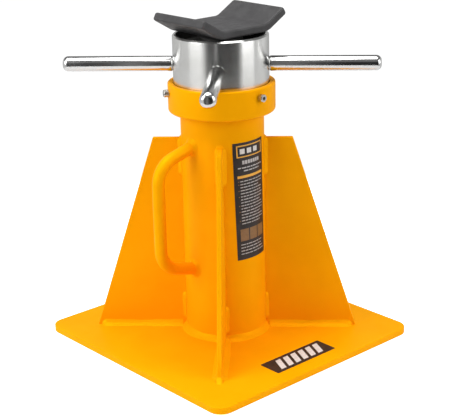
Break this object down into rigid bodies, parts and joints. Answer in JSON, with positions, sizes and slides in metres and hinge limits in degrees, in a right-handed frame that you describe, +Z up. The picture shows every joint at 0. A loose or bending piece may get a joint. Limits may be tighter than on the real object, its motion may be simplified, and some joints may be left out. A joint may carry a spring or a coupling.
{
  "type": "screw axle stand",
  "caption": "Welded steel stand with a flat base and a gusseted column; a rotating nut with tommy bars raises a guided screw that carries a trough saddle.",
  "frame": {"origin": "on the column axis, at the base plate's underside", "axes": "+Z up along the lifting screw; +X and +Y square to the base plate's edges; the carrying handle is on the -X side and the saddle's trough runs along Y"},
  "size_m": [0.3, 0.306, 0.3809],
  "materials": {
    "yellow_paint": "semi-gloss yellow powder coat",
    "turned_steel": "turned and zinc plated, satin",
    "bright_chrome": "polished",
    "dark_saddle": "dark phosphated, dry",
    "screw_steel": "oiled, rolled thread",
    "plain_steel": "mill finish",
    "bearing_steel": "ground",
    "brass_cage": "pressed, satin",
    "zinc_hardware": "bright zinc plated",
    "black_oxide": "black oxide",
    "label_film": "printed vinyl film, satin"
  },
  "bodies": {
    "stand": {"base_plate": "yellow_paint", "column_tube": "yellow_paint", "collar": "yellow_paint", "carry_handle": "yellow_paint", "gusset_front": "yellow_paint", "gusset_right": "yellow_paint", "gusset_rear": "yellow_paint", "gusset_left": "yellow_paint", "gusset_welds_front": "yellow_paint", "gusset_welds_right": "yellow_paint", "gusset_welds_rear": "yellow_paint", "gusset_welds_left": "yellow_paint", "column_foot_weld": "yellow_paint", "collar_weld": "yellow_paint", "handle_welds": "yellow_paint", "guide_rail": "plain_steel", "rail_welds": "plain_steel", "collar_screws": "zinc_hardware", "bearing_lower_washer": "bearing_steel", "column_label": "label_film", "base_label": "label_film"},
    "ball_set": {"bearing_balls": "bearing_steel", "ball_cage": "brass_cage"},
    "nut": {"lifting_nut": "turned_steel", "bearing_upper_washer": "bearing_steel", "tommy_bar_front": "bright_chrome", "tommy_bar_right": "bright_chrome", "tommy_bar_rear": "bright_chrome", "tommy_bar_left": "bright_chrome"},
    "lift": {"lifting_screw": "screw_steel", "guide_ring": "plain_steel", "end_washer": "zinc_hardware", "end_bolt": "black_oxide", "saddle": "dark_saddle", "saddle_weld": "dark_saddle"}
  },
  "joints": [
    {"name": "nut_spin", "type": "hinge", "parent": "stand", "child": "nut", "pos_m": [0, 0, 0.32], "axis": [0, 0, -1], "range_deg": [0, 8100]},
    {"name": "screw_lift", "type": "slide", "parent": "stand", "child": "lift", "axis": [0, 0, 1], "range_m": [0, 0.18]},
    {"name": "ball_set_spin", "type": "hinge", "parent": "stand", "child": "ball_set", "pos_m": [0, 0, 0.28], "axis": [0, 0, -1], "range_deg": [0, 4050]}
  ],
  "couplings": [
    {"joint": "screw_lift", "follows": "nut_spin", "m_per_rad": 0.0012732},
    {"joint": "ball_set_spin", "follows": "nut_spin", "ratio": 0.5}
  ]
}
